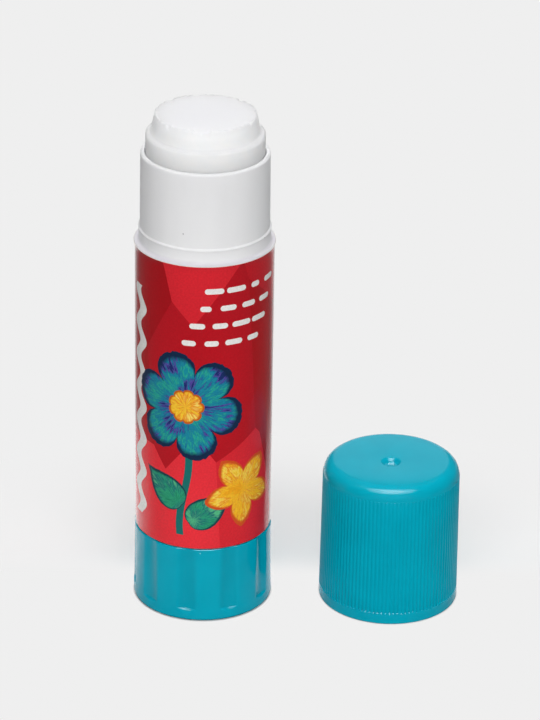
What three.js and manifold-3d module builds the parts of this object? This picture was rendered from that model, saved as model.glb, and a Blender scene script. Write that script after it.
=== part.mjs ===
// Small twist-up glue stick, opened, with its cap standing beside it, open side down.
// Millimetres, +Z up. The origin is the centre of the knob's underside, on the stick's axis.
// Turning the knob turns the spindle; its left-hand thread lifts the carrier and the glue on it.

import * as THREE from 'three';
import { mergeVertices } from 'three/addons/utils/BufferGeometryUtils.js';
import Module from 'manifold-3d';

const wasm = await Module();
wasm.setup();

// Facets of the round surfaces
const bodyFacets = 40;
const capFacets = 54;
const rodFacets = 24;
const filletFacets = 3;
const threadStepsPerTurn = 12;

// Clearances between pieces
const turnFit = 0.1;
const slideFit = 0.2;
const seatGap = 0.3;
const filmGap = 0.02;
const castGap = 0.05;

// Knob: a fluted cup round the tube's foot, its walls measured outwards from its bore
const knobHeight = 11.75;
const knobFootWall = 1.16;
const knobBandWall = 1.13;
const knobRimWall = 1.02;
const knobBandHeight = 1.55;
const knobFloor = 1.4;
const knobFootRound = 0.45;
const knobRimRound = 0.12;
const knobInnerChamfer = 0.5;
const underRecessInner = 4.2;
const underRecessMargin = 0.7;
const underRecessDepth = 0.4;
const fluteCount = 10;
const fluteDepth = 0.35;
const fluteHollowRadius = 4.6;
const flutePhase = 5.9;
const bossRadius = 4.4;
const bossHeight = 4.2;
const bossRound = 0.3;

// Tube: barrel under the label, spigot and end wall inside the knob, neck under the cap
const panelRadius = 9.9;
const barrelWall = 1.3;
const barrelLength = 45.1;
const spigotStep = 0.9;
const spigotWall = 1.1;
const spigotChamfer = 0.5;
const endWall = 1.2;
const bearingRadius = 3.2;
const boreRamp = 1.0;
const lipFlare = 0.2;
const lipHeight = 1.1;
const lipChamfer = 0.08;
const neckLength = 13.5;
const neckRootWall = 0.84;
const neckRootRound = 0.4;
const neckWall = 0.7;
const neckTipWall = 0.62;
const neckRimRound = 0.4;
const neckRimInner = 0.12;
const beadRise = 2.05;
const beadHeight = 0.09;
const beadWidth = 0.5;

// Guide ribs down the bore, which keep the carrier from turning
const guideCount = 4;
const guideDepth = 0.4;
const guideWidth = 1.0;
const guideOverlap = 3.5;
const guideLeadIn = 1.2;
const guideClearance = 0.15;

// Label film
const labelThickness = 0.08;
const labelFootMargin = 0.05;

// Cap: its mouth stands on the table and, closed, on the tube's shoulder; walls are measured outwards
const capStandoff = 7.14;
const capHeight = 21.9;
const capFit = 0.16;
const capFootWall = 0.66;
const capWall = 0.68;
const capBandHeight = 1.6;
const capEdgeRound = 2.1;
const capTop = 1.2;
const capMouthDepth = 2.2;
const snapBite = 0.13;
const snapWidth = 0.7;
const capInnerRound = 1.0;
const capFootChamfer = 0.15;
const ribCount = 108;
const ribDepth = 0.1;
const ribLandShare = 0.55;
const gateRadius = 1.4;
const gateDepth = 0.5;
const gateFloorRadius = 0.85;
const gateNubRadius = 0.4;
const gateNubHeight = 0.25;

// Seal lip inside the cap: it enters the neck and shapes the glue's tip
const lipEntry = 2.2;
const sealWall = 0.95;
const sealMouthWall = 0.75;
const sealThroatStep = 0.56;
const sealLipEdge = 0.3;

// Glue: length for about 8 g, tip in two tiers
const glueLength = 37;
const glueFit = 0.1;
const tipHeight = 2.8;
const tipAdvance = 5.1;
const tipStepRound = 0.4;
const tipEdgeRound = 0.3;
const tipCornerRound = 0.25;

// Carrier
const carrierFloor = 1.2;
const cupDepth = 4.5;
const cupWall = 0.8;
const cupEdge = 0.15;
const skirtLength = 14;
const stemWall = 0.9;
const nutLength = 6;
const webCount = 4;
const webThickness = 0.8;
const webDepth = 8;

// Spindle
const threadLead = 5;
const threadRoot = 2.2;
const threadCrest = 2.9;
const threadCrestShare = 0.32;
const threadFlankShare = 0.16;
const threadRadialClearance = 0.25;
const threadFlankClearance = 0.15;
const stemClearance = 0.4;
const threadTip = 0.8;
const flangeRadius = 5;
const flangeThickness = 1.2;
const flangeChamfer = 0.2;
const tangAcrossFlats = 5;
const tangFit = 0.05;

// Levels on the stick's axis, from the table up
const bossTop = knobFloor + bossHeight;
const wallFoot = bossTop + seatGap;
const wallTop = wallFoot + endWall;
const barrelFoot = knobHeight + turnFit;
const shoulder = barrelFoot + barrelLength;
const neckRim = shoulder + neckLength;
const sealMouth = neckLength - lipEntry;
const tipStep = shoulder + sealMouth + tipAdvance;
const tipTop = tipStep + tipHeight;
const glueFoot = tipTop - glueLength;
const cupRim = glueFoot + cupDepth;
const carrierUnderside = glueFoot - carrierFloor;
const skirtFoot = carrierUnderside - skirtLength;
const liftTravel = neckRim - seatGap - cupRim;
const flangeFoot = wallTop + seatGap;
const flangeTop = flangeFoot + flangeThickness;
const stemFoot = flangeTop + seatGap + tipAdvance;
const nutTop = stemFoot + nutLength;
const threadEnd = nutTop + liftTravel + seatGap;
const spindleTop = threadEnd + threadTip;
const glueBoreTop = spindleTop + tipAdvance + seatGap;
const guideTop = skirtFoot + liftTravel + guideOverlap;
const guideFoot = barrelFoot - boreRamp;
const grooveTop = guideTop + tipAdvance + seatGap;

// Radii of the tube, and of the knob and cap that fit on it
const boreRadius = panelRadius - barrelWall;
const guideRadius = boreRadius - guideDepth;
const spigotRadius = panelRadius - spigotStep;
const spigotBore = spigotRadius - spigotWall;
const lipRadius = panelRadius + lipFlare;
const neckRootRadius = boreRadius + neckRootWall;
const neckRadius = boreRadius + neckWall;
const neckTipRadius = boreRadius + neckTipWall;
const beadRadius = neckRootRadius + beadHeight;
const knobBore = spigotRadius + turnFit;
const knobFootRadius = knobBore + knobFootWall;
const knobBandRadius = knobBore + knobBandWall;
const knobRimRadius = knobBore + knobRimWall;
const capMouthRadius = neckRootRadius + slideFit;
const capInnerRadius = neckRadius + capFit;
const capInnerTopRadius = neckTipRadius + capFit;
const snapRadius = beadRadius - snapBite;
const capFootRadius = capMouthRadius + capFootWall;
const capShoulderRadius = capInnerTopRadius + capWall;
const capSpacing = knobFootRadius + capStandoff + capFootRadius;

// Radii of what runs in the bore
const carrierRadius = boreRadius - slideFit;
const cupBore = carrierRadius - cupWall;
const stemBore = threadCrest + stemClearance;
const stemRadius = stemBore + stemWall;
const journalRadius = bearingRadius - turnFit;
const glueRadius = boreRadius - glueFit;
const sealMouthInner = glueRadius - sealMouthWall;
const sealThroatInner = sealMouthInner - sealThroatStep;

const degrees = Math.PI / 180;

function polar(radius, angle) {
  return [radius * Math.cos(angle * degrees), radius * Math.sin(angle * degrees)];
}

// Points of an arc about a centre, from one angle to another, ends included
function arc(x, y, radius, from, to, steps = filletFacets) {
  return Array.from({ length: steps + 1 }, (_, i) => {
    const [dx, dy] = polar(radius, from + (to - from) * i / steps);
    return [x + dx, y + dy];
  });
}

// A body of revolution about Z; the outline runs outwards at the foot and up the outside
function revolve(outline, facets = bodyFacets) {
  const closed = outline[0][0] > 0 ? [...outline, outline[0]] : outline;
  const points = closed.map(([r, z]) => new THREE.Vector2(r, z));
  return new THREE.LatheGeometry(points, facets).rotateX(Math.PI / 2);
}

function polygon(points) {
  return new THREE.Shape(points.map(([x, y]) => new THREE.Vector2(x, y)));
}

function extrude(shape, foot, top, steps = 1) {
  const geometry = new THREE.ExtrudeGeometry(shape, { depth: top - foot, steps, bevelEnabled: false });
  return geometry.translate(0, 0, foot);
}

// A closed mesh as a solid for joining and cutting
function solid(geometry) {
  const bare = geometry.clone();
  bare.deleteAttribute('normal');
  bare.deleteAttribute('uv');
  const merged = mergeVertices(bare);
  const corners = merged.index.array;
  const kept = [];
  for (let i = 0; i < corners.length; i += 3) {
    const [a, b, c] = corners.subarray(i, i + 3);
    if (a !== b && b !== c && c !== a) kept.push(a, b, c);
  }
  return new wasm.Manifold(new wasm.Mesh({
    numProp: 3,
    vertProperties: new Float32Array(merged.attributes.position.array),
    triVerts: new Uint32Array(kept),
  }));
}

function meshOf(manifold) {
  const { vertProperties, triVerts } = manifold.getMesh();
  const geometry = new THREE.BufferGeometry();
  geometry.setAttribute('position', new THREE.BufferAttribute(vertProperties, 3));
  geometry.setIndex(new THREE.BufferAttribute(triVerts, 1));
  geometry.computeVertexNormals();
  return geometry;
}

// Copies of a solid turned round the axis in equal steps
function around(count, phase, make) {
  return Array.from({ length: count }, (_, i) => solid(make().rotateZ((phase + 360 * i / count) * degrees)));
}

// A radial bar of the given width between two radii, its top sloped inwards by leadIn
function radialBar(inner, outer, width, foot, top, leadIn = 0) {
  const side = polygon([[inner, foot], [outer, foot], [outer, top], [inner, top - leadIn]]);
  return extrude(side, -width / 2, width / 2).rotateX(Math.PI / 2);
}

// Cross-section of the single-start thread: a cam whose high part is the crest
function threadSection(root, crest, flankExtra) {
  const crestHalf = threadCrestShare * 180 + flankExtra / threadLead * 360;
  const flank = threadFlankShare * 360;
  const rootStart = crestHalf + flank;
  const middle = (root + crest) / 2;
  return polygon([
    ...arc(0, 0, crest, -crestHalf, crestHalf),
    polar(middle, crestHalf + flank / 2),
    ...arc(0, 0, root, rootStart, 360 - rootStart),
    polar(middle, -crestHalf - flank / 2),
  ]);
}

// The section drawn up the axis and wound left-handed by one turn per lead. It is wound right-handed,
// which keeps each facet short along the thread, and then mirrored, which swaps two corners of a face.
function windThread(section, foot, top) {
  const step = threadLead / threadStepsPerTurn;
  const steps = Math.ceil((top - foot) / step);
  const place = extrude(section, foot, foot + steps * step, steps).attributes.position;
  const corners = Array.from({ length: place.count }, (_, i) => {
    const corner = new THREE.Vector3().fromBufferAttribute(place, i);
    corner.applyAxisAngle(new THREE.Vector3(0, 0, 1), 2 * Math.PI * corner.z / threadLead);
    return corner.setY(-corner.y);
  });
  const faces = [];
  for (let i = 0; i < corners.length; i += 3) faces.push(corners[i], corners[i + 2], corners[i + 1]);
  return new THREE.BufferGeometry().setFromPoints(faces);
}

function hexagon(acrossFlats) {
  return polygon(arc(0, 0, acrossFlats / 2 / Math.cos(30 * degrees), 0, 300, 5));
}

// Line of the tube's outside from the label's foot to the lip, moved outwards by an offset
function panelLine(offset) {
  const flare = Array.from({ length: filletFacets }, (_, i) => {
    const share = (i + 1) / filletFacets;
    const radius = panelRadius + (lipRadius - panelRadius) * share * share;
    return [radius + offset, shoulder - lipChamfer - lipHeight * (1 - share)];
  });
  return [[panelRadius + offset, shoulder - lipChamfer - lipHeight], ...flare];
}

function makeKnob() {
  const underRecessOuter = knobBore - underRecessMargin;
  const outline = [
    [0, 0],
    [underRecessInner, 0],
    [underRecessInner + underRecessDepth, underRecessDepth],
    [underRecessOuter - underRecessDepth, underRecessDepth],
    [underRecessOuter, 0],
    ...arc(knobFootRadius - knobFootRound, knobFootRound, knobFootRound, -90, 0, 2),
    [knobBandRadius, knobBandHeight],
    ...arc(knobRimRadius - knobRimRound, knobHeight - knobRimRound, knobRimRound, 0, 90),
    [knobBore + knobRimRound, knobHeight],
    [knobBore, knobHeight - knobRimRound],
    [knobBore, knobFloor + knobInnerChamfer],
    [knobBore - knobInnerChamfer, knobFloor],
    [bossRadius, knobFloor],
    [bossRadius, bossTop - bossRound],
    [bossRadius - bossRound, bossTop],
    [0, bossTop],
  ];
  // Each flute is the hollow of a cylinder that ends in a cone, so that it runs out above the band
  const coneRun = fluteHollowRadius / 2;
  const fluteFoot = knobBandHeight + fluteDepth;
  const fluteAway = knobBandRadius - fluteDepth + fluteHollowRadius;
  const makeCutter = () => revolve([
    [0, fluteFoot - coneRun],
    [fluteHollowRadius - coneRun, fluteFoot - coneRun],
    [fluteHollowRadius, fluteFoot],
    [fluteHollowRadius, knobHeight + 1],
    [0, knobHeight + 1],
  ]).translate(fluteAway, 0, 0);
  const socket = solid(extrude(hexagon(tangAcrossFlats + 2 * tangFit), knobFloor, bossTop + 1));
  const flutes = around(fluteCount, flutePhase, makeCutter);
  return meshOf(flutes.reduce((body, flute) => body.subtract(flute), solid(revolve(outline)).subtract(socket)));
}

function makeTube() {
  const beadMiddle = shoulder + beadRise;
  const outline = [
    [bearingRadius, wallFoot],
    [spigotRadius - spigotChamfer, wallFoot],
    [spigotRadius, wallFoot + spigotChamfer],
    [spigotRadius, barrelFoot],
    [panelRadius, barrelFoot],
    ...panelLine(0),
    [lipRadius - lipChamfer, shoulder],
    ...arc(neckRootRadius + neckRootRound, shoulder + neckRootRound, neckRootRound, -90, -180, 2),
    [neckRootRadius, beadMiddle - beadWidth / 2],
    [beadRadius, beadMiddle - beadWidth / 8],
    [beadRadius, beadMiddle + beadWidth / 8],
    [neckRadius, beadMiddle + beadWidth / 2],
    ...arc(neckTipRadius - neckRimRound, neckRim - neckRimRound, neckRimRound, 0, 90),
    [boreRadius + neckRimInner, neckRim],
    [boreRadius, neckRim - neckRimInner],
    [boreRadius, barrelFoot + boreRamp],
    [spigotBore, barrelFoot],
    [spigotBore, wallTop],
    [bearingRadius, wallTop],
  ];
  const makeGuide = () => radialBar(guideRadius, boreRadius + turnFit, guideWidth, guideFoot, guideTop, guideLeadIn);
  const guides = around(guideCount, 180 / guideCount, makeGuide);
  return meshOf(guides.reduce((body, guide) => body.add(guide), solid(revolve(outline))));
}

function makeLabel() {
  const foot = barrelFoot + labelFootMargin;
  const inner = [[panelRadius + filmGap, foot], ...panelLine(filmGap)];
  const outer = [[panelRadius + filmGap + labelThickness, foot], ...panelLine(filmGap + labelThickness)];
  return revolve([...outer, ...inner.reverse()]);
}

function makeGlue() {
  const cupFill = cupBore - castGap;
  const outline = [
    [0, glueBoreTop],
    [threadRoot, glueBoreTop],
    [stemBore, glueBoreTop - threadTip],
    [stemBore, glueFoot + castGap],
    [cupFill, glueFoot + castGap],
    [cupFill, cupRim + castGap],
    [glueRadius, cupRim + castGap],
    ...arc(glueRadius - tipStepRound, tipStep - tipStepRound, tipStepRound, 0, 90, 2),
    ...arc(sealMouthInner + tipCornerRound, tipStep + tipCornerRound, tipCornerRound, -90, -180, 1),
    ...arc(sealThroatInner - tipEdgeRound, tipTop - tipEdgeRound, tipEdgeRound, 0, 90, 2),
    [0, tipTop],
  ];
  // The guide ribs of the tube leave a groove each in the cast glue
  const grooveInner = guideRadius - castGap;
  const grooveWidth = guideWidth + 2 * castGap;
  const makeGroove = () => radialBar(grooveInner, boreRadius, grooveWidth, glueFoot, grooveTop, guideLeadIn);
  const grooves = around(guideCount, 180 / guideCount, makeGroove);
  return meshOf(grooves.reduce((body, groove) => body.subtract(groove), solid(revolve(outline))));
}

function makeCarrier() {
  const nutBore = threadRoot - threadRadialClearance;
  const outline = [
    [nutBore, stemFoot],
    [stemRadius, stemFoot],
    [stemRadius, carrierUnderside],
    [cupBore, carrierUnderside],
    [cupBore, skirtFoot],
    [carrierRadius - cupEdge, skirtFoot],
    [carrierRadius, skirtFoot + cupEdge],
    [carrierRadius, cupRim - cupEdge],
    [carrierRadius - cupEdge, cupRim],
    [cupBore, cupRim],
    [cupBore, glueFoot],
    [stemBore, glueFoot],
    [stemBore, nutTop],
    [nutBore, nutTop],
  ];
  const section = threadSection(
    threadRoot + threadRadialClearance, threadCrest + threadRadialClearance, threadFlankClearance);
  const thread = solid(windThread(section, stemFoot - seatGap, nutTop + seatGap));
  const notchInner = guideRadius - guideClearance;
  const notchWidth = guideWidth + 2 * guideClearance;
  const makeNotch = () => radialBar(notchInner, boreRadius + turnFit, notchWidth, skirtFoot - 1, cupRim + 1);
  const notches = around(guideCount, 180 / guideCount, makeNotch);
  const webReach = [stemRadius - seatGap, cupBore + seatGap];
  const makeWeb = () => radialBar(
    ...webReach, webThickness, carrierUnderside - webDepth, carrierUnderside + seatGap);
  const webs = around(webCount, 0, makeWeb);
  const body = webs.reduce((all, web) => all.add(web), solid(revolve(outline)));
  return meshOf(notches.reduce((all, notch) => all.subtract(notch), body.subtract(thread)));
}

function makeSpindle() {
  const base = [
    [0, bossTop],
    [journalRadius, bossTop],
    [journalRadius, flangeFoot],
    [flangeRadius, flangeFoot],
    [flangeRadius, flangeTop - flangeChamfer],
    [flangeRadius - flangeChamfer, flangeTop],
    [0, flangeTop],
  ];
  // The thread starts inside the flange and is turned down to a cone at its free end
  const thread = windThread(threadSection(threadRoot, threadCrest, 0), flangeFoot + seatGap, spindleTop);
  const envelope = revolve([
    [0, flangeFoot],
    [threadCrest + 1, flangeFoot],
    [threadCrest + 1, threadEnd - 1],
    [threadCrest, threadEnd],
    [threadCrest - threadTip, spindleTop],
    [0, spindleTop],
  ], rodFacets);
  const tang = extrude(hexagon(tangAcrossFlats), knobFloor + seatGap, bossTop + seatGap);
  return meshOf(solid(revolve(base, rodFacets)).add(solid(tang)).add(solid(thread).intersect(solid(envelope))));
}

function makeCap() {
  const ceiling = capHeight - capTop;
  const edgeFoot = capHeight - capEdgeRound;
  const sealThroat = sealMouth + tipHeight;
  const snapMiddle = capMouthDepth + snapWidth;
  const outline = [
    [capMouthRadius + capFootChamfer, 0],
    [capFootRadius - capFootChamfer, 0],
    [capFootRadius, capFootChamfer],
    ...arc(capShoulderRadius - capEdgeRound, edgeFoot, capEdgeRound, 0, 90, 5),
    [0, capHeight],
  ];
  const inside = [
    [0, ceiling],
    [sealThroatInner, ceiling],
    [sealThroatInner, sealThroat],
    [sealMouthInner, sealMouth],
    [glueRadius, sealMouth],
    [glueRadius, sealMouth + sealLipEdge],
    [sealThroatInner + sealWall, sealThroat],
    [sealThroatInner + sealWall, ceiling],
    ...arc(capInnerTopRadius - capInnerRound, ceiling - capInnerRound, capInnerRound, 90, 0, 1),
    [capInnerRadius, snapMiddle + snapWidth / 2],
    [snapRadius, snapMiddle],
    [capInnerRadius, snapMiddle - snapWidth / 2],
    [capMouthRadius, capMouthDepth],
    [capMouthRadius, capFootChamfer],
  ];
  const gateFloor = capHeight - gateDepth;
  const gate = revolve([
    [0, gateFloor + gateNubHeight],
    [gateNubRadius, gateFloor],
    [gateFloorRadius, gateFloor],
    [gateRadius, capHeight],
    [gateRadius, capHeight + 1],
    [0, capHeight + 1],
  ], rodFacets);
  const shell = solid(revolve([...outline, ...inside], capFacets));
  return meshOf(shell.subtract(solid(gate)).subtract(solid(ribCutter(edgeFoot))));
}

// A ring round the cap whose toothed inside leaves the ribs standing, tapered as the cap is
function ribCutter(top) {
  const pitch = 360 / ribCount;
  const reach = ribDepth / (1 - ribLandShare);
  const teeth = Array.from({ length: ribCount }, (_, i) => [
    polar(capFootRadius - ribDepth, i * pitch),
    polar(capFootRadius - ribDepth + reach, (i + 0.5) * pitch),
  ]).flat();
  const ring = polygon(arc(0, 0, capFootRadius + reach + 1, 0, 360 - 360 / capFacets, capFacets - 1));
  ring.holes.push(polygon(teeth));
  const geometry = extrude(ring, capBandHeight, top);
  const place = geometry.attributes.position;
  for (let i = 0; i < place.count; i += 1) {
    const share = place.getZ(i) / top;
    const narrowing = 1 + (capShoulderRadius / capFootRadius - 1) * share;
    place.setXY(i, place.getX(i) * narrowing, place.getY(i) * narrowing);
  }
  return geometry;
}

function plastic(color, roughness) {
  return new THREE.MeshStandardMaterial({ color, roughness, metalness: 0 });
}

function piece(name, geometry, material) {
  const mesh = new THREE.Mesh(geometry, material);
  mesh.name = name;
  return mesh;
}

const teal = 0x0098ae;
const stick = new THREE.Group();
stick.add(
  piece('knob', makeKnob(), plastic(teal, 0.35)),
  piece('spindle', makeSpindle(), plastic(0xe8e8e8, 0.4)),
  piece('tube', makeTube(), plastic(0xe6e7e8, 0.4)),
  piece('label', makeLabel(), plastic(0xc81e2a, 0.25)),
  piece('carrier', makeCarrier(), plastic(0xe8e8e8, 0.4)),
  piece('glue_core', makeGlue(), plastic(0xf0f1f2, 0.6)),
);

const cap = piece('cap', makeCap(), plastic(teal, 0.35));
cap.position.x = capSpacing;

const glueStick = new THREE.Group();
glueStick.add(stick, cap);

export default glueStick;
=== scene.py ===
# Twist-up glue stick, opened, with its cap standing beside it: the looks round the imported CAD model.
# Metres, +Z up, the stick's axis on the Z axis; sizes in the dictionaries are in millimetres.
import math

import bmesh
import bpy
from mathutils import Euler, Matrix, Vector, noise


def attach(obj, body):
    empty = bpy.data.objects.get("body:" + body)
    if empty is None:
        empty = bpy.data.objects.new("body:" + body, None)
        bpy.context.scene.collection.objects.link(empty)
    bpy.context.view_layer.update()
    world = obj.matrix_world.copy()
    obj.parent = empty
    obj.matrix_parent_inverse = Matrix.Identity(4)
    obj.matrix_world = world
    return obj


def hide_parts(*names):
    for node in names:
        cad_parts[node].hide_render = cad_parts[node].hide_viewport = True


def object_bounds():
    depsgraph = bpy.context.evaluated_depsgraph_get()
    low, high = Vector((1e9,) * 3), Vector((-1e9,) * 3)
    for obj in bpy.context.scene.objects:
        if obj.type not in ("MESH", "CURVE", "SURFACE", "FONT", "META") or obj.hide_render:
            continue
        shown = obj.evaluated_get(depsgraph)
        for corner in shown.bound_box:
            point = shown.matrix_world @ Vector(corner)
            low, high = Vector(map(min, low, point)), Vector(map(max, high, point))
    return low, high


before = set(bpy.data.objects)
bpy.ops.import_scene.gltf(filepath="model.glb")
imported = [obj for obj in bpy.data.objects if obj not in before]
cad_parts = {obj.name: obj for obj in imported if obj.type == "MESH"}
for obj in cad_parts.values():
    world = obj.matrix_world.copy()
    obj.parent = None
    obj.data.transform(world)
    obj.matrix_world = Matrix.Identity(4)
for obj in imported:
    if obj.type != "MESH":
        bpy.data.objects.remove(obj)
cadLow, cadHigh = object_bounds()
mm = 0.001
hair = 0.01  # mm, the slack of a comparison
mergeDistance = 1e-7  # m
fullTurn = 2 * math.pi
print("stage: frame loaded,", len(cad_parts), "nodes")

# Settings that several nodes share, and the span that most values of a noise texture lie in
smooth = {"interpolation_type": "SMOOTHSTEP"}
colourMix = {"data_type": "RGBA"}
darkenMix = {"data_type": "RGBA", "blend_type": "MULTIPLY"}
plainMix = {"data_type": "FLOAT"}
flatNoise = {"noise_dimensions": "2D"}
multiply = {"operation": "MULTIPLY"}
divide = {"operation": "DIVIDE"}
subtract = {"operation": "SUBTRACT"}
maximum = {"operation": "MAXIMUM"}
compare = {"operation": "COMPARE"}
lessThan = {"operation": "LESS_THAN"}
greaterThan = {"operation": "GREATER_THAN"}
noiseSpan = (0.3, 0.7)
scatter = (1.0, 1.0, 1.05)  # how far red, green and blue go in, in shares of a material's depth


# An sRGB hex colour as the linear colour that a shader socket takes
def linear(hexColour):
    channels = [int(hexColour[i:i + 2], 16) / 255 for i in (1, 3, 5)]
    return [c / 12.92 if c <= 0.04045 else ((c + 0.055) / 1.055) ** 2.4 for c in channels] + [1.0]


# Adds one shader node with its settings. Each input is a value, the socket that feeds it, or a node
# whose first output does.
def addNode(tree, kind, settings=None, inputs=None):
    node = tree.nodes.new(kind)
    for name, value in (settings or {}).items():
        setattr(node, name, value)
    for name, value in (inputs or {}).items():
        if isinstance(value, bpy.types.Node):
            value = value.outputs[0]
        if isinstance(value, bpy.types.NodeSocket):
            tree.links.new(value, node.inputs[name])
        else:
            node.inputs[name].default_value = value
    return node


# The range that a map range node reads, in a unit or in none
def between(low, high, unit=1.0):
    return {"From Min": low * unit, "From Max": high * unit}


# An empty material, its node tree, and the place on the piece that its patterns hang on
def newMaterial(name):
    material = bpy.data.materials.new(name)
    material.use_nodes = True
    tree = material.node_tree
    tree.nodes.clear()
    return material, tree, addNode(tree, "ShaderNodeTexCoord").outputs["Object"]


# Ends a material with its shader: a pattern makes its gloss uneven, and light goes in where its
# values have that
def finishMaterial(tree, values, inputs, pattern=None):
    rough = values["roughness"]
    fixed = {"IOR": values["ior"], "Specular IOR Level": values["specular"], "Roughness": rough}
    if pattern is not None:
        fixed["Roughness"] = addNode(tree, "ShaderNodeMapRange", {}, {
            "Value": pattern, **between(*noiseSpan),
            "To Min": rough - values["smoother"], "To Max": rough + values["rougher"]})
    if "subsurface" in values:
        fixed.update({"Subsurface Weight": values["subsurface"], "Subsurface Radius": scatter,
                      "Subsurface Scale": values["subsurfaceMm"] * mm})
    shader = addNode(tree, "ShaderNodeBsdfPrincipled", {}, {**fixed, **inputs})
    addNode(tree, "ShaderNodeOutputMaterial", {}, {"Surface": shader})


# Fills a ramp node with stops of (place, colour)
def setRamp(node, stops, interpolation="LINEAR"):
    ramp = node.color_ramp
    ramp.interpolation = interpolation
    while len(ramp.elements) > 1:
        ramp.elements.remove(ramp.elements[-1])
    ramp.elements[0].position = stops[0][0]
    ramp.elements[0].color = stops[0][1]
    for place, colour in stops[1:]:
        ramp.elements.new(place).color = colour
    return node


# A section as a chain of edges in the XZ plane, its corners rounded, spun once round the Z axis.
# A corner is (radius, height) or (radius, height, rounding), in millimetres.
def spinSection(section, steps, closed=False, segments=6, sectors=12):
    bm = bmesh.new()
    chain = [bm.verts.new((corner[0] * mm, 0, corner[1] * mm)) for corner in section]
    for a, b in zip(chain, chain[1:] + (chain[:1] if closed else [])):
        bm.edges.new((a, b))
    roundings = {vert: corner[2] for vert, corner in zip(chain, section) if len(corner) > 2}
    for vert, rounding in roundings.items():
        bmesh.ops.bevel(bm, geom=[vert], affect="VERTICES", offset=rounding * mm, offset_type="OFFSET",
                        segments=segments, profile=0.5, material=-1)
    # One sector is spun, then copied round, which is far quicker than one long spin
    sector = fullTurn / sectors
    bmesh.ops.spin(bm, geom=bm.verts[:] + bm.edges[:], cent=(0, 0, 0), axis=(0, 0, 1),
                   angle=sector, steps=steps // sectors)
    bmesh.ops.spin(bm, geom=bm.verts[:] + bm.edges[:] + bm.faces[:], cent=(0, 0, 0), axis=(0, 0, 1),
                   angle=fullTurn - sector, steps=sectors - 1, use_duplicate=True)
    bmesh.ops.remove_doubles(bm, verts=bm.verts, dist=mergeDistance)
    bmesh.ops.recalc_face_normals(bm, faces=bm.faces)
    return bm


# Azimuth of a vertex in degrees from +X, 0 to 360
def azimuthOf(vert):
    return math.degrees(math.atan2(vert.co.y, vert.co.x)) % 360


# Its distance from the Z axis in millimetres
def radiusOf(vert):
    return math.hypot(vert.co.x, vert.co.y) / mm


def setRadius(vert, radius):
    share = radius * mm / math.hypot(vert.co.x, vert.co.y)
    vert.co.x *= share
    vert.co.y *= share


# Turns a bmesh into a shown piece that rides on a body and stands in for a node, which it hides
def makePiece(name, bm, material, body, node, sharpDegrees):
    mesh = bpy.data.meshes.new(name)
    bm.to_mesh(mesh)
    bm.free()
    mesh.materials.append(material)
    mesh.shade_smooth()
    mesh.set_sharp_from_angle(angle=math.radians(sharpDegrees))
    piece = bpy.data.objects.new(name, mesh)
    bpy.context.scene.collection.objects.link(piece)
    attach(piece, body)
    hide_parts(node)
    print("stage:", name, len(mesh.polygons), "faces")
    return piece


# Camera: a long lens from half a metre away, looking 25 degrees down
camera = {
    "place": (9.572, -459.737, 256.530),  # mm
    "down": 25.442,  # degrees
    "roll": 0.9155,  # degrees
    "lens": 175.43,
    "sensor": 36,
}


def makeCamera():
    data = bpy.data.cameras.new("camera")
    data.lens = camera["lens"]
    data.sensor_width = camera["sensor"]
    made = bpy.data.objects.new("camera", data)
    bpy.context.scene.collection.objects.link(made)
    down = math.radians(camera["down"])
    roll = math.radians(camera["roll"])
    up = Vector((0, math.sin(down), math.cos(down)))
    across = Vector((1, 0, 0))
    xAxis = across * math.cos(roll) + up * math.sin(roll)
    yAxis = up * math.cos(roll) - across * math.sin(roll)
    zAxis = xAxis.cross(yAxis)
    turned = Matrix((xAxis, yAxis, zAxis)).transposed()
    made.matrix_world = Matrix.Translation(Vector(camera["place"]) * mm) @ turned.to_4x4()
    bpy.context.scene.camera = made


makeCamera()
bpy.context.scene.view_settings.view_transform = "Standard"
print("stage: camera")

# Room: a pale seamless table, and broad soft light from overhead, from the front and from behind.
# Gloss shows a pair of softboxes above the camera, a lit backdrop far behind and the table close by,
# as the broad lamps stand behind diffusers too wide and dim to be seen in it.
room = {
    "tableSize": 6.0,  # m
    "tableDrop": 0.02,  # below the feet
    "tableColour": "#EBEBEB",
    "background": 0.863,
    "feet": ((0, 0, 0), (27.7, 0, 0)),  # where the knob and the cap stand
    "contact": (10.1, 10.5),  # from a foot's middle, where the table's painted contact shade and its true contact shadow fade
    "shadowBehind": (4.0, 12.0),  # behind the stick's axis, where the feet begin to shade the table
    "shadowAway": (24.0, 52.0),  # from a foot's middle, where the shadows thin out
    "glowBack": 0.05,  # what is left there of the table's even glow
    "bounceSpan": (30, 90),
    "bounceNear": 0.4,
    "bounceFar": 0.2,
    "mirroredSpan": (30, 80),
    "mirroredBehind": (-12, 10),
    "mirroredFront": 0.45,
    "mirroredBack": 1.3,
    "mirroredFar": 0.25,
    "mirroredFarBack": 0.8,
    "straightBehind": (0.7, 0.95),  # sine of the direction from the stick
    "fillSpan": (-0.7, 0.7),  # sine of the direction from the front to the back
    "fillFront": 0.36,
    "fillBack": 0.17,
    "backdrop": 0.76,
    "backdropTop": (0.52, 0.57),  # sine of the elevation where it fades out
    "backdropSide": (0.2, 0.25),  # the same to each side
    "dark": 0.1,
    "lamps": {  # strength in W/m2, the rest in degrees; gloss marks what only gloss shows
        "softboxLeft": {"strength": 3.1, "width": 40, "azimuth": -21, "elevation": 70.5, "gloss": True},
        "softboxRight": {"strength": 3.1, "width": 40, "azimuth": 21, "elevation": 70.5, "gloss": True},
        "overhead": {"strength": 0.4, "width": 30, "azimuth": 0, "elevation": 84, "gloss": False},
        "key": {"strength": 2.2, "width": 66, "azimuth": 2, "elevation": 17, "gloss": False},
        "rearFill": {"strength": 1.7, "width": 50, "azimuth": 180, "elevation": 57, "gloss": False},
    },
}
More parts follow.
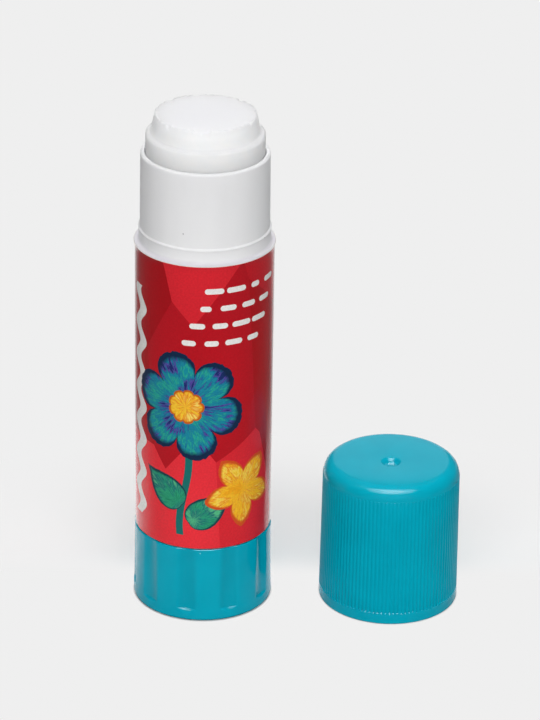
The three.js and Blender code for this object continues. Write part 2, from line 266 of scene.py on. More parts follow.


# Matt white laminate, one even pale sheet to the eye. The light that it throws back and shows in gloss
# is a painted level, more close by than far off, and in gloss most behind the pieces.
def makeTableLaminate():
    material, tree, place = newMaterial("tableLaminateMatt")
    back = addNode(tree, "ShaderNodeSeparateXYZ", {}, {0: place}).outputs["Y"]
    away = addNode(tree, "ShaderNodeVectorMath", {"operation": "LENGTH"}, {0: place}).outputs["Value"]
    closeBy = addNode(tree, "ShaderNodeMapRange", smooth, {
        "Value": back, **between(*room["mirroredBehind"], mm),
        "To Min": room["mirroredFront"], "To Max": room["mirroredBack"]})
    straight = addNode(tree, "ShaderNodeMath", divide, {0: back, 1: away})
    farOff = addNode(tree, "ShaderNodeMapRange", smooth, {
        "Value": straight, **between(*room["straightBehind"]),
        "To Min": room["mirroredFar"], "To Max": room["mirroredFarBack"]})
    mirrored = addNode(tree, "ShaderNodeMapRange", smooth, {
        "Value": away, **between(*room["mirroredSpan"], mm), "To Min": closeBy, "To Max": farOff})
    bounce = addNode(tree, "ShaderNodeMapRange", smooth, {
        "Value": away, **between(*room["bounceSpan"], mm),
        "To Min": room["bounceNear"], "To Max": room["bounceFar"]})
    # Painted contact shade: near a foot its thrown light is darkened, fading within half a millimetre
    toFeet = [addNode(tree, "ShaderNodeVectorMath", {"operation": "DISTANCE"}, {
        0: place, 1: [part * mm for part in foot]}).outputs["Value"] for foot in room["feet"]]
    nearest = addNode(tree, "ShaderNodeMath", {"operation": "MINIMUM"}, {0: toFeet[0], 1: toFeet[1]})
    clear = addNode(tree, "ShaderNodeMapRange", smooth, {
        "Value": nearest, **between(*room["contact"], mm)})
    path = addNode(tree, "ShaderNodeLightPath")
    paintedThrownLight = addNode(tree, "ShaderNodeMix", plainMix, {
        "Factor": path.outputs["Is Glossy Ray"], 2: bounce, 3: mirrored})
    contactShadedLight = addNode(tree, "ShaderNodeMath", multiply, {0: paintedThrownLight, 1: clear})
    colour = addNode(tree, "ShaderNodeMix", colourMix, {
        "Factor": path.outputs["Is Camera Ray"], 6: contactShadedLight, 7: linear(room["tableColour"])})
    lit = addNode(tree, "ShaderNodeBsdfDiffuse", {}, {"Color": colour.outputs[2]})
    # The camera sees the backdrop's own level on it, but for the soft shadows behind the pieces
    glow = addNode(tree, "ShaderNodeEmission", {}, {
        "Color": (1, 1, 1, 1), "Strength": room["background"]})
    inFront = addNode(tree, "ShaderNodeMapRange", smooth, {
        "Value": back, **between(*room["shadowBehind"], mm), "To Min": 1.0, "To Max": room["glowBack"]})
    outside = addNode(tree, "ShaderNodeMapRange", smooth, {
        "Value": nearest, **between(*room["shadowAway"], mm)})
    level = addNode(tree, "ShaderNodeMath", maximum, {0: inFront, 1: outside})
    glowing = addNode(tree, "ShaderNodeMath", multiply, {0: clear, 1: level})
    share = addNode(tree, "ShaderNodeMath", multiply, {0: path.outputs["Is Camera Ray"], 1: glowing})
    shown = addNode(tree, "ShaderNodeMixShader", {}, {0: share, 1: lit, 2: glow})
    addNode(tree, "ShaderNodeOutputMaterial", {}, {"Surface": shown})
    return material


def makeTable():
    bm = bmesh.new()
    bmesh.ops.create_grid(bm, x_segments=8, y_segments=8, size=room["tableSize"] / 2)
    bmesh.ops.translate(bm, verts=bm.verts, vec=(0, 0, -room["tableDrop"] * mm))
    mesh = bpy.data.meshes.new("table")
    bm.to_mesh(mesh)
    bm.free()
    mesh.materials.append(makeTableLaminate())
    table = bpy.data.objects.new("table", mesh)
    bpy.context.scene.collection.objects.link(table)


def makeLamps():
    for name, lamp in room["lamps"].items():
        data = bpy.data.lights.new(name, "SUN")
        data.energy = lamp["strength"]
        data.angle = math.radians(lamp["width"])
        made = bpy.data.objects.new(name, data)
        bpy.context.scene.collection.objects.link(made)
        tilt = math.radians(90 - lamp["elevation"])
        made.rotation_euler = Euler((tilt, 0, math.radians(lamp["azimuth"])))
        made.visible_glossy = lamp["gloss"]
        made.visible_diffuse = not lamp["gloss"]


# The world: an even pale backdrop to the camera, a soft fill to what is matt, and to gloss a dark room
# with one lit sheet behind
def makeWorld():
    world = bpy.data.worlds.new("room")
    world.use_nodes = True
    bpy.context.scene.world = world
    tree = world.node_tree
    tree.nodes.clear()
    direction = addNode(tree, "ShaderNodeTexCoord").outputs["Generated"]
    parts = addNode(tree, "ShaderNodeSeparateXYZ", {}, {0: direction})
    sideways = addNode(tree, "ShaderNodeMath", {"operation": "ABSOLUTE"}, {0: parts.outputs["X"]})
    edges = []
    for value, edge in ((sideways, "backdropSide"), (parts.outputs["Z"], "backdropTop")):
        edges.append(addNode(tree, "ShaderNodeMapRange", smooth, {
            "Value": value, **between(*room[edge]), "To Min": 1.0, "To Max": 0.0}))
    behind = addNode(tree, "ShaderNodeMath", greaterThan, {0: parts.outputs["Y"], 1: 0.0})
    sheet = addNode(tree, "ShaderNodeMath", multiply, {0: edges[0], 1: edges[1]})
    onSheet = addNode(tree, "ShaderNodeMath", multiply, {0: sheet, 1: behind})
    mirrored = addNode(tree, "ShaderNodeMapRange", {}, {
        "Value": onSheet, "To Min": room["dark"], "To Max": room["backdrop"]})
    fill = addNode(tree, "ShaderNodeMapRange", smooth, {
        "Value": parts.outputs["Y"], **between(*room["fillSpan"]),
        "To Min": room["fillFront"], "To Max": room["fillBack"]})
    path = addNode(tree, "ShaderNodeLightPath")
    lit = addNode(tree, "ShaderNodeMix", plainMix, {
        "Factor": path.outputs["Is Glossy Ray"], 2: fill, 3: mirrored})
    seen = addNode(tree, "ShaderNodeMix", plainMix, {
        "Factor": path.outputs["Is Camera Ray"], 2: lit, 3: room["background"]})
    shown = addNode(tree, "ShaderNodeBackground", {}, {"Color": (1, 1, 1, 1), "Strength": seen})
    addNode(tree, "ShaderNodeOutputWorld", {}, {"Surface": shown})


makeTable()
makeLamps()
makeWorld()
print("stage: room")


# A colour that clouds between two shades, and the clouds themselves
def cloudedColour(tree, place, values):
    clouds = addNode(tree, "ShaderNodeTexNoise", {}, {
        "Vector": place, "Scale": 1 / (values["cloudMm"] * mm), "Detail": values["cloudDetail"]})
    low, high = values["cloudSpan"]
    colour = setRamp(addNode(tree, "ShaderNodeValToRGB", {}, {0: clouds}), [
        (low, linear(values["cloudColour"])), (high, linear(values["colour"]))])
    return colour, clouds


# Dust over a colour: a cell in so many holds a speck at its middle
def dusted(tree, place, below, values):
    cells = addNode(tree, "ShaderNodeTexVoronoi", {}, {
        "Vector": place, "Scale": 1 / (values["speckPitchMm"] * mm), "Randomness": 1.0})
    near = addNode(tree, "ShaderNodeMath", lessThan, {
        0: cells.outputs["Distance"], 1: values["speckMm"] / values["speckPitchMm"]})
    pick = addNode(tree, "ShaderNodeSeparateColor", {}, {0: cells.outputs["Color"]})
    chosen = addNode(tree, "ShaderNodeMath", greaterThan, {0: pick, 1: values["cleanShare"]})
    speck = addNode(tree, "ShaderNodeMath", multiply, {0: near, 1: chosen})
    return addNode(tree, "ShaderNodeMix", colourMix, {
        "Factor": speck, 6: below, 7: linear(values["speckColour"])}).outputs[2]


# Painted shade: a colour darkened where the mesh's own attribute says so
def paintedShadeBy(tree, below, attribute, depth):
    amount = addNode(tree, "ShaderNodeAttribute", {"attribute_name": attribute})
    shade = addNode(tree, "ShaderNodeMapRange", {}, {
        "Value": amount.outputs["Fac"], "To Min": 1.0, "To Max": 1 - depth})
    return addNode(tree, "ShaderNodeMix", darkenMix, {"Factor": 1.0, 6: below, 7: shade}).outputs[2]


# The faint ripple that a mould leaves
def rippled(tree, place, values):
    ripple = addNode(tree, "ShaderNodeTexNoise", {}, {
        "Vector": place, "Scale": 1 / (values["rippleMm"] * mm), "Detail": 2.0})
    return addNode(tree, "ShaderNodeBump", {}, {
        "Height": ripple, "Strength": 1.0, "Distance": values["rippleHeightMm"] * mm})


# Polypropylene, injection moulded and dyed teal: satin gloss with the faint ripple of the mould's
# surface, cloudy by a shade and with a few specks of dust
tealPlastic = {
    "colour": "#00AAC2",
    "cloudColour": "#00A5BD",
    "cloudMm": 5.0,
    "cloudDetail": 3.0,
    "cloudSpan": (0.35, 0.65),
    "ior": 1.49,
    "specular": 0.17,
    "roughness": 0.12,
    "smoother": 0.04,
    "rougher": 0.05,
    "rippleMm": 0.9,
    "rippleHeightMm": 0.0025,
    "grainMm": 0.12,
    "speckColour": "#7FD3DF",
    "speckPitchMm": 3.2,
    "speckMm": 0.1,
    "cleanShare": 0.55,
    # painted shade in the knob's flutes and the cap's grooves
    "paintedGrooveShade": 0.09,
}

# The cap's ribbed wall: the same plastic, its gloss broken up by the fine ribs
tealRibs = {**tealPlastic, "specular": 0.05, "roughness": 0.3, "paintedGrooveShade": 0.08}


def makeTealPlastic(name, values):
    material, tree, place = newMaterial(name)
    colour = cloudedColour(tree, place, values)[0]
    dusty = dusted(tree, place, colour, values)
    # Painted shade: the knob's flutes and the grooves between the cap's ribs are coloured a shade darker
    shaded = paintedShadeBy(tree, dusty, "grooveShareAndShade", values["paintedGrooveShade"])
    grain = addNode(tree, "ShaderNodeTexNoise", {}, {
        "Vector": place, "Scale": 1 / (values["grainMm"] * mm), "Detail": 2.0})
    finishMaterial(tree, values, {"Base Color": shaded, "Normal": rippled(tree, place, values)}, grain)
    return material


# Polypropylene, injection moulded in natural white: light goes in a little, so its edges stay soft
whitePlastic = {
    "colour": "#F6F6F8",
    "cloudColour": "#F1F1F3",
    "cloudMm": 7.0,
    "cloudDetail": 3.0,
    "cloudSpan": (0.35, 0.65),
    "flowDraw": 0.25,  # flow marks run up the wall, so the pattern is drawn out along Z
    "ior": 1.49,
    "specular": 0.05,
    "roughness": 0.46,
    "smoother": 0.04,
    "rougher": 0.05,
    "rippleMm": 1.2,
    "rippleHeightMm": 0.003,
    # painted shade on the shoulder's ledge
    "ledgeShadeColour": "#E6E4EA",
    "shadedLedgeSpan": (57.0, 57.5),  # the shoulder's ledge lies below this height, the neck above it
    "subsurface": 0.4,
    "subsurfaceMm": 1.2,
    "speckColour": "#9A9AA0",
    "speckPitchMm": 6.0,
    "speckMm": 0.09,
    "cleanShare": 0.0,
}


def makeWhitePlastic():
    values = whitePlastic
    material, tree, place = newMaterial("polypropyleneWhiteMoulded")
    drawn = addNode(tree, "ShaderNodeMapping", {"vector_type": "POINT"}, {
        "Vector": place, "Scale": (1, 1, values["flowDraw"])})
    colour, clouds = cloudedColour(tree, drawn, values)
    dusty = dusted(tree, place, colour, values)
    # Painted shade: the ledge that the label ends on is coloured a shade darker than the neck
    height = addNode(tree, "ShaderNodeSeparateXYZ", {}, {0: place}).outputs["Z"]
    onShadedLedge = addNode(tree, "ShaderNodeMapRange", smooth, {
        "Value": height, **between(*values["shadedLedgeSpan"], mm), "To Min": 1.0, "To Max": 0.0})
    ledgeShaded = addNode(tree, "ShaderNodeMix", colourMix, {
        "Factor": onShadedLedge, 6: dusty, 7: linear(values["ledgeShadeColour"])})
    finishMaterial(tree, values, {
        "Base Color": ledgeShaded.outputs[2], "Normal": rippled(tree, drawn, values)}, clouds)
    return material


# Glue mass of soap-thickened PVP: a soft wax-like white that lets light in, with painted shade where it
# faces up
glueMass = {
    "colour": "#F8F8F9",
    "cloudColour": "#F4F6F9",
    "cloudMm": 2.2,
    "cloudDetail": 4.0,
    "cloudSpan": (0.3, 0.6),
    "ior": 1.45,
    "specular": 0.03,
    "roughness": 0.55,
    "smoother": 0.08,
    "rougher": 0.12,
    # painted shade where the glue faces up and near its top
    "upShadeColour": "#E4E4E7",
    "upShadeSpan": (0.3, 0.8),  # how far a face looks up, from none to all of the painted shade
    "edgeShadeSpan": (74.9, 76.0),  # the painted shade thins out down the tip's side
    "edgeShadeShare": 0.4,
    "shadedLedgeSpan": (73.9, 74.9),
    "ledgeShadeShare": 0.4,  # its share of the painted shade on the ledge round the tip
    "burrShadowDepth": 0.08,
    "crumbMm": 0.35,
    "crumbHeightMm": 0.008,
    "subsurface": 0.8,
    "subsurfaceMm": 7.0,
}


def makeGlueMass():
    values = glueMass
    material, tree, place = newMaterial("glueMassWhiteWaxy")
    colour = cloudedColour(tree, place, values)[0]
    # Painted shade: what faces up is coloured a shade darker than the sides, and near the top the sides
    # take part of it
    facing = addNode(tree, "ShaderNodeSeparateXYZ", {}, {
        0: addNode(tree, "ShaderNodeNewGeometry").outputs["Normal"]}).outputs["Z"]
    facingUp = addNode(tree, "ShaderNodeMapRange", smooth, {
        "Value": facing, **between(*values["upShadeSpan"])})
    height = addNode(tree, "ShaderNodeSeparateXYZ", {}, {0: place}).outputs["Z"]
    nearTop = addNode(tree, "ShaderNodeMapRange", smooth, {
        "Value": height, **between(*values["edgeShadeSpan"], mm), "To Max": values["edgeShadeShare"]})
    onTop = addNode(tree, "ShaderNodeMapRange", {}, {
        "Value": height, **between(*values["shadedLedgeSpan"], mm),
        "To Min": values["ledgeShadeShare"], "To Max": 1.0})
    level = addNode(tree, "ShaderNodeMath", multiply, {0: facingUp, 1: onTop})
    upShade = addNode(tree, "ShaderNodeMath", maximum, {0: level, 1: nearTop})
    upShaded = addNode(tree, "ShaderNodeMix", colourMix, {
        "Factor": upShade, 6: colour, 7: linear(values["upShadeColour"])}).outputs[2]
    # Painted shadow: a thin line coloured darker along the burr at the front edge
    shaded = paintedShadeBy(tree, upShaded, "burrShadowMask", values["burrShadowDepth"])
    crumbs = addNode(tree, "ShaderNodeTexNoise", {}, {
        "Vector": place, "Scale": 1 / (values["crumbMm"] * mm), "Detail": 4.0, "Roughness": 0.6})
    bump = addNode(tree, "ShaderNodeBump", {}, {
        "Height": crumbs, "Strength": 1.0, "Distance": values["crumbHeightMm"] * mm})
    finishMaterial(tree, values, {"Base Color": shaded, "Normal": bump}, crumbs)
    return material


tealMaterial = makeTealPlastic("polypropyleneTealMoulded", tealPlastic)
ribMaterial = makeTealPlastic("polypropyleneTealRibbed", tealRibs)
whiteMaterial = makeWhitePlastic()
glueMaterial = makeGlueMass()
print("stage: plastics and glue mass")

# Knob: fluted cup with a plain band at its foot and a ring-shaped recess underneath
knob = {
    "columns": 540,
    "under": [(0, 0), (4.2, 0, 0.1), (4.6, 0.4, 0.1), (8.0, 0.4, 0.1), (8.4, 0, 0.1), (10.26, 0, 0.42)],
    "inside": [
        (9.93, 11.75, 0.02), (9.9, 11.3, 0.1), (9.1, 11.3, 0.1), (9.1, 1.4, 0.4),  # bore for the spigot
        (4.4, 1.4, 0.2), (4.4, 5.6, 0.3), (2.98, 5.6, 0.1), (2.98, 1.4), (0, 1.4),  # boss and its socket
    ],
    "bandTop": 1.55,
    "bandRadius": 10.23,
    "footRows": 19,
    "footRowPitch": 0.03,
    "wallRows": (3, 6, 9, 11.5),
    "top": 11.75,
    "rimRadius": 10.12,
    "chamferHeight": 0.11,
    "chamferWidth": 0.125,
    "chamferRounds": (0.03, 0.02),
    "flutes": 10,
    "flutedFrom": 9.3,  # only what lies farther out is fluted
    "fluteDepth": 0.35,
    "fluteHollow": 4.6,
    "flutePhase": 5.9,  # degrees from +X
    "runOutSlope": 1.15,
    "edgeSoftness": 0.16,
    "footSoftness": 0.07,
    "softnessRise": 0.4,  # height in which the one turns into the other
    "shadeFrom": 0.15,  # a flute cut deeper than this has its full painted shade
}


# How far a flute cuts in at an angle from its middle and a height, softened along its edges
def fluteCut(degrees, height, wall):
    slopeTop = knob["bandTop"] + knob["fluteDepth"] / knob["runOutSlope"]
    hollow = knob["fluteHollow"] - knob["runOutSlope"] * max(0.0, slopeTop - height)
    away = knob["bandRadius"] - knob["fluteDepth"] + knob["fluteHollow"]
    angle = math.radians(degrees)
    inside = hollow ** 2 - (away * math.sin(angle)) ** 2
    if inside <= 0:
        return 0.0
    depth = wall - (away * math.cos(angle) - math.sqrt(inside))
    aboveSlope = min(1.0, max(0.0, (height - slopeTop) / knob["softnessRise"]))
    soft = knob["footSoftness"] + (knob["edgeSoftness"] - knob["footSoftness"]) * aboveSlope
    if depth > soft:
        return depth
    return (depth + soft) ** 2 / (4 * soft) if depth > -soft else 0.0


def makeKnob():
    top = knob["top"]
    band = knob["bandTop"]
    rim = knob["rimRadius"]

    def wall(height):
        return knob["bandRadius"] + (rim - knob["bandRadius"]) * (height - band) / (top - band)

    rows = [band + knob["footRowPitch"] * i for i in range(knob["footRows"])] + [*knob["wallRows"]]
    lower, upper = knob["chamferRounds"]
    section = [
        *knob["under"], *[(wall(z), z) for z in rows],
        (rim, top - knob["chamferHeight"], lower), (rim - knob["chamferWidth"], top, upper),
        *knob["inside"],
    ]
    bm = spinSection(section, knob["columns"])
    grooveShareAndShade = bm.verts.layers.float.new("grooveShareAndShade")
    pitch = 360 / knob["flutes"]
    for vert in bm.verts:
        height = vert.co.z / mm
        radius = radiusOf(vert)
        if height < band - hair or radius < knob["flutedFrom"]:
            continue
        fromMiddle = (azimuthOf(vert) + pitch / 2) % pitch - pitch / 2
        cut = fluteCut(fromMiddle, height, wall(height))
        # Painted shade in the flutes, full where the cut is deeper than shadeFrom
        vert[grooveShareAndShade] = min(1.0, cut / knob["shadeFrom"])
        setRadius(vert, radius - cut)
    bmesh.ops.rotate(bm, verts=bm.verts, cent=(0, 0, 0),
                     matrix=Matrix.Rotation(math.radians(knob["flutePhase"]), 3, "Z"))
    makePiece("knobShell", bm, tealMaterial, "knob", "knob", sharpDegrees=40)


makeKnob()

# Cap: fine upright ribs, rounded top edge, gate dimple with the stub of the gate, seal lip inside
cap = {
    "spacing": 27.7,  # from the stick's axis
    "footRadius": 10.3,
    "footRound": 0.14,
    "topRadius": 10.06,
    "height": 21.9,
    "edgeRound": 1.94,
    "ribs": 108,
    "columnsPerRib": 6,
    "ribFoot": 1.6,
    "ribTop": 19.95,
    "ribTopSlope": 0.07,
    "ribDepth": 0.075,
    "ribsFrom": 9.8,  # only what lies farther out is ribbed
    "grooveFlank": 0.7,  # share of the depth beside a groove's middle
    "footSlope": 0.15,
    "footNotch": 0.105,  # how much deeper the grooves end at the band
    "notchFade": 0.35,
    "wallRows": (15, 10, 5, 2.1),
    "gate": [
        (0, 21.74), (0.15, 21.74), (0.3, 21.74), (0.45, 21.74), (0.52, 21.38),  # stub
        (0.86, 21.38, 0.08), (1.45, 21.9, 0.14),  # dimple
    ],
    "gatePlace": (-0.1, -0.65),  # off the cap's axis
    "gateReach": 1.7,
    "gateFloor": 21.38,
    "stubRadius": 0.5,
    "shearHeight": 21.56,
    "shearSlope": 0.84,
    "inside": [
        (9.64, 0, 0.14), (9.64, 2.2), (9.46, 2.5), (9.4, 2.9), (9.46, 3.25),  # mouth and snap ring
        (9.38, 20.7, 1.05), (8.14, 20.7, 0.15), (8.14, 14.1), (8.5, 11.6, 0.05), (8.5, 11.3, 0.08),
        (7.75, 11.3, 0.1), (7.19, 14.1), (7.19, 20.7, 0.3), (0, 20.7),  # seal lip and ceiling
    ],
}


def makeCap():
    foot = cap["ribFoot"]
    slopeTop = foot + cap["footSlope"]
    ribTop = cap["ribTop"]
    height = cap["height"]
    drop = cap["ribDepth"]
    perRib = cap["columnsPerRib"]

    def wall(z):
        return cap["footRadius"] + (cap["topRadius"] - cap["footRadius"]) * z / height

    rows = [ribTop - cap["ribTopSlope"], *cap["wallRows"], slopeTop, foot]
    section = [
        *cap["gate"], (wall(height) - drop, height, cap["edgeRound"]), (wall(ribTop) - drop, ribTop),
        *[(wall(z), z) for z in rows], (cap["footRadius"], 0, cap["footRound"]), *cap["inside"],
    ]
    bm = spinSection(section, cap["ribs"] * perRib)
    grooveShare = {0: 1.0, 1: cap["grooveFlank"], perRib - 1: cap["grooveFlank"]}
    grooveShareAndShade = bm.verts.layers.float.new("grooveShareAndShade")
    for vert in bm.verts:
        z = vert.co.z / mm
        radius = radiusOf(vert)
        if z > cap["gateFloor"] - hair and radius < cap["gateReach"]:
            # The gate's stub is sheared off at a slope, and its dimple lies a little off the axis
            if radius < cap["stubRadius"]:
                sheared = cap["shearHeight"] + cap["shearSlope"] * vert.co.y / mm
                vert.co.z = max(cap["gateFloor"], min(z, sheared)) * mm
            vert.co.x += cap["gatePlace"][0] * mm
            vert.co.y += cap["gatePlace"][1] * mm
        if not (foot + hair < z < ribTop + hair and radius > cap["ribsFrom"]):
            continue
        column = round(azimuthOf(vert) / 360 * cap["ribs"] * perRib) % perRib
        # A groove's share sets its depth and also its painted shade
        vert[grooveShareAndShade] = grooveShare.get(column, 0.0)
        share = 1.0 if vert[grooveShareAndShade] > 0 and z < slopeTop + hair else vert[grooveShareAndShade]
        depth = drop + cap["footNotch"] * max(0.0, 1 - (z - slopeTop) / cap["notchFade"])
        setRadius(vert, min(radius, wall(z) - depth * share))
    for face in bm.faces:
        middle = face.calc_center_median()
        onWall = math.hypot(middle.x, middle.y) / mm > cap["ribsFrom"]
        if onWall and slopeTop < middle.z / mm < ribTop - cap["ribTopSlope"]:
            face.material_index = 1
    bmesh.ops.translate(bm, verts=bm.verts, vec=(cap["spacing"] * mm, 0, 0))
    piece = makePiece("capShell", bm, tealMaterial, "cap", "cap", sharpDegrees=40)
    piece.data.materials.append(ribMaterial)


makeCap()

# Tube: spigot in the knob, barrel under the label, shoulder lip, neck with its snap bead, guide ribs
tube = {
    "columns": 240,
    "section": [
        (3.2, 5.9, 0.1), (9.0, 5.9, 0.4), (9.0, 11.92),  # end wall and spigot
        (9.9, 11.92, 0.02), (9.9, 55.77),  # barrel
        (9.93, 56.2), (10.0, 56.6), (10.1, 56.9), (10.1, 56.95, 0.02), (9.44, 56.95, 0.38),  # shoulder
        (9.44, 58.72, 0.04), (9.53, 58.92, 0.05), (9.53, 59.06, 0.05), (9.3, 59.25, 0.05),  # snap bead
        (9.22, 70.45, 0.4), (8.6, 70.45, 0.12),  # neck and its rim
        (8.6, 53.95), (8.6, 52.75), (8.6, 12.85), (7.9, 11.85), (7.9, 7.1, 0.3), (3.2, 7.1, 0.1),  # bore
    ],
    "boreRadius": 8.6,
    "guides": 4,
    "guideDepth": 0.4,
    "guideHalfWidth": 0.5,
    "guideFoot": 12.0,
    "guideTop": 53.95,
    "guideLeadIn": 1.2,
}


def makeTube():
    bm = spinSection(tube["section"], tube["columns"], closed=True)
    pitch = 360 / tube["guides"]
    for vert in bm.verts:
        height = vert.co.z / mm
        radius = radiusOf(vert)
        alongRib = tube["guideFoot"] < height < tube["guideTop"] - tube["guideLeadIn"] / 2
        if abs(radius - tube["boreRadius"]) > hair or not alongRib:
            continue
        fromRib = abs(azimuthOf(vert) % pitch - pitch / 2)
        if math.radians(fromRib) * radius < tube["guideHalfWidth"] + hair:
            setRadius(vert, radius - tube["guideDepth"])
    makePiece("tubeShell", bm, whiteMaterial, "tube", "tube", sharpDegrees=35)


makeTube()

# Glue: its tip in two tiers as the cap's seal lip shaped it. The top edge is nicked, with a burr in
# places, and a stretch of it in front is worn down with a flake left at either end
glue = {
    "columns": 360,
    "inside": [  # holds the carrier's stem and cup
        (0, 53), (2.2, 53), (3.3, 52.2), (3.3, 39.2), (7.55, 39.2), (7.55, 43.7),
    ],
    "foot": 43.7,
    "footRound": 0.1,
    "outerRadius": 8.5,
    "outerRows": (60, 68, 70.6, 71.4, 72.2),
    "outerRound": 0.45,
    "tipStep": 73.35,
    "stepRound": 0.3,
    "baseRadius": 7.75,
    "tipRows": (74.4, 74.9, 75.3, 75.6, 75.8, 75.95),
    "tipTop": 76.15,
    "topRound": 0.14,
    "topRadius": 7.19,
    "topRings": (6.95, 6.8, 6.6, 6.3, 5.9, 5.3, 4.2, 2.8, 1.4, 0),
    "unevenFrom": 70.5,
    "unevenMiddle": 0.5,  # radius within which the top stays even
    "swellScale": 260,  # this and the next two are counts to a metre
    "fineScale": 700,
    "riseScale": 420,
    "fineShare": 0.5,
    "swell": 0.021,
    "waviness": 0.035,
    "wavyBand": 0.2,
    "nickMm": 1.1,
    "nickFrom": 0.15,
    "fineNicks": 2.7,
    "nickReach": 0.6,
    "nickInwards": 0.352,
    "nickDown": 0.44,
    "burrBand": 0.25,
    "burrInset": 0.17,
    "burrWidth": 0.2,
    "burrPitch": 0.45,
    "burrHeight": 0.12,
    "ragged": (0.6, 1.6, 1.7),  # middle, swing and pitch of the painted shadow along it
    "riseShift": (3, 1, 7),  # this and the next two set noises apart that share a place
    "burrShift": (9, 2, 4),
    "raggedShift": (5, 8, 2),
    "burrReach": 5.4,  # how far the burr's painted shadow runs to each side, in half widths of the worn stretch
    "burrStart": 1.05,
    "wornMiddle": 266,  # degrees from +X
    "wornHalfWidth": 11,
    "wornOutset": 0.1,
    "wornReach": 1.5,
    "wornDepth": 0.45,
    "flakePlace": 1.08,
    "flakeWidth": 0.1,
    "flakeHeight": 0.12,
    "headroom": 0.08,  # over the CAD model's top
}


def makeGlue():
    step = glue["tipStep"]
    top = glue["tipTop"]
    base = glue["baseRadius"]
    rim = glue["topRadius"]
    outer = glue["outerRadius"]
    fine = glue["fineShare"]
    middle, swing, pitch = glue["ragged"]

    def tierWall(z):
        return base + (rim - base) * (z - step) / (top - step)

    def nicks(place):
        return max(0.0, noise.noise(place) - glue["nickFrom"])

    section = [
        *glue["inside"], (outer, glue["foot"], glue["footRound"]),
        *[(outer, z) for z in glue["outerRows"]], (outer, step, glue["outerRound"]),
        (base, step, glue["stepRound"]), *[(tierWall(z), z) for z in glue["tipRows"]],
        (rim, top, glue["topRound"]), *[(r, top) for r in glue["topRings"]],
    ]
    bm = spinSection(section, glue["columns"], segments=5)
    burrShadowMask = bm.verts.layers.float.new("burrShadowMask")
    for vert in bm.verts:
        z = vert.co.z / mm
        radius = radiusOf(vert)
        if z < glue["unevenFrom"] or radius < glue["unevenMiddle"]:
            continue
        outwards = Vector((vert.co.x, vert.co.y, 0)).normalized()
        aroundRim = outwards * rim / glue["nickMm"]
        push = noise.noise(vert.co * glue["swellScale"])
        push += fine * noise.noise(vert.co * glue["fineScale"])
        push *= glue["swell"]
        rise = 0.0
        if z > top - glue["wavyBand"]:
            risePlace = vert.co * glue["riseScale"] + Vector(glue["riseShift"])
            rise = noise.noise(risePlace) * glue["waviness"]
        # Nicks bite the top edge in places, and a low burr stands between them
        nearEdge = max(0.0, 1 - math.hypot(radius - rim, z - top) / glue["nickReach"])
        nick = (nicks(aroundRim) + fine * nicks(aroundRim * glue["fineNicks"])) * nearEdge
        push -= nick * glue["nickInwards"]
        rise -= nick * glue["nickDown"]
        onBurr = 0.0
        if z > top - glue["burrBand"]:
            onBurr = max(0.0, 1 - abs(radius - rim + glue["burrInset"]) / glue["burrWidth"])
        burrSwell = noise.noise(aroundRim * glue["burrPitch"] + Vector(glue["burrShift"]))
        rise += max(0.0, burrSwell) * onBurr * glue["burrHeight"]
        # The worn stretch slopes off, and a flake stands up at each end of it
        across = (azimuthOf(vert) - glue["wornMiddle"]) / glue["wornHalfWidth"]
        worn = max(0.0, 1 - across ** 4)
        slope = max(0.0, 1 - math.hypot(radius - rim - glue["wornOutset"], z - top) / glue["wornReach"])
        rise -= worn * slope * glue["wornDepth"]
        flake = max(0.0, 1 - abs(abs(across) - glue["flakePlace"]) / glue["flakeWidth"])
        rise += flake * onBurr * glue["flakeHeight"]
        # Along the front a ragged painted shadow follows the burr
        ragged = middle + swing * noise.noise(aroundRim * pitch + Vector(glue["raggedShift"]))
        if glue["burrStart"] < abs(across) < glue["burrReach"]:
            vert[burrShadowMask] = onBurr * min(1.0, max(0.0, ragged))
        vert.co += outwards * push * mm + Vector((0, 0, rise * mm))
        vert.co.z = min(vert.co.z, cadHigh.z + glue["headroom"] * mm)
    makePiece("glueMass", bm, glueMaterial, "carrier", "glue_core", sharpDegrees=50)


makeGlue()

# Hidden mechanism: the screw and the elevator keep their CAD solids
for nodeName in ("spindle", "carrier"):
    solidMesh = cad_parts[nodeName].data
    solidMesh.materials.clear()
    solidMesh.materials.append(whiteMaterial)
print("stage: mechanism")

# Label: printed film, wrapped once and lapped at the back
label = {
    "columns": 240,
    "foot": 11.93,
    "footRound": 0.02,
    "innerRadius": 9.92,
    "outerRadius": 10.0,
    "rows": (24, 35, 46),
    "flare": [(0.0, 55.77), (0.022, 56.14), (0.089, 56.5), (0.2, 56.87)],  # outwards, at a height
    "lapFrom": 84,  # degrees from +X, at the back
    "lapTo": 96,
    "lapRise": 0.04,
}


def makeLabel(material):
    inner = label["innerRadius"]
    outer = label["outerRadius"]
    section = [
        (outer, label["foot"], label["footRound"]), *[(outer, z) for z in label["rows"]],
        *[(outer + r, z) for r, z in label["flare"]],
        *[(inner + r, z) for r, z in reversed(label["flare"])], (inner, label["foot"]),
    ]
    bm = spinSection(section, label["columns"], closed=True)
    for vert in bm.verts:
        radius = radiusOf(vert)
        if radius > (inner + outer) / 2 and label["lapFrom"] < azimuthOf(vert) < label["lapTo"]:
            setRadius(vert, radius + label["lapRise"])
    makePiece("labelFilm", bm, material, "tube", "label", sharpDegrees=40)


# What the print's two leaves share
leaf = {
    "tips": 1, "inner": 0.9, "roundness": 0.62, "wobble": 0.05, "outline": "#0F3F4A",
    "strokes": ["#1B7F5B", "#2FA77B", "#15606E", "#56BE86"],
}

